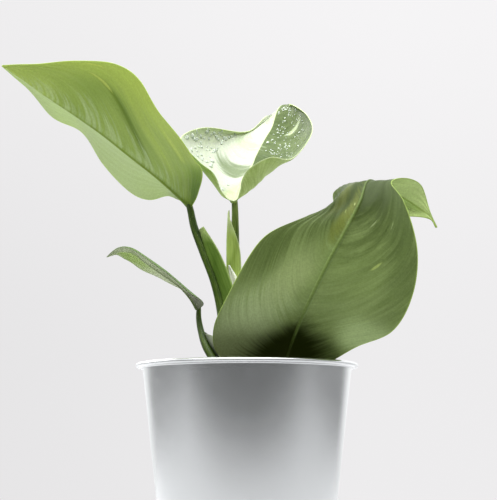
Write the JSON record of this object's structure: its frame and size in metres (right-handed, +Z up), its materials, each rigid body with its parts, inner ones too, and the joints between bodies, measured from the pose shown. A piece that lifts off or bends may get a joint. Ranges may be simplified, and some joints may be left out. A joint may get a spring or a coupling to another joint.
{
  "type": "potted philodendron",
  "caption": "Young variegated philodendron with heart-shaped leaves on sheathed petioles, growing in a tapered satin metal pot with a rolled rim.",
  "frame": {"origin": "centre of the pot's flat underside, on the pot's axis", "axes": "+Z up along the pot's axis; -Y is the side that the main view sees, with +X to its right"},
  "size_m": [0.2586, 0.1314, 0.2988],
  "materials": {
    "pot_metal": "satin, fine even grain",
    "potting_soil": "loose, crumbly",
    "stem_skin": "dull, ringed with leaf scars",
    "petiole_green": "smooth, slightly ridged",
    "sheath_green": "smooth, translucent at the edge",
    "dry_scale": "thin and papery",
    "leaf_fresh_green": "smooth with fine veins",
    "leaf_variegated": "glossy with fine veins, cream and green",
    "leaf_deep_green": "matt underside with fine veins",
    "leaf_pale_green": "smooth with fine veins"
  },
  "bodies": {
    "root": {"pot": "pot_metal", "soil": "potting_soil", "stem": "stem_skin", "petiole_upper_left": "petiole_green", "petiole_centre": "petiole_green", "petiole_low_left": "petiole_green", "petiole_front": "petiole_green", "blade_upper_left": "leaf_fresh_green", "blade_centre": "leaf_variegated", "blade_front": "leaf_deep_green", "blade_low_left": "leaf_pale_green", "sheath_upper_left": "sheath_green", "sheath_centre": "sheath_green", "sheath_low_left": "sheath_green", "scale_leaf": "dry_scale"}
  },
  "joints": []
}
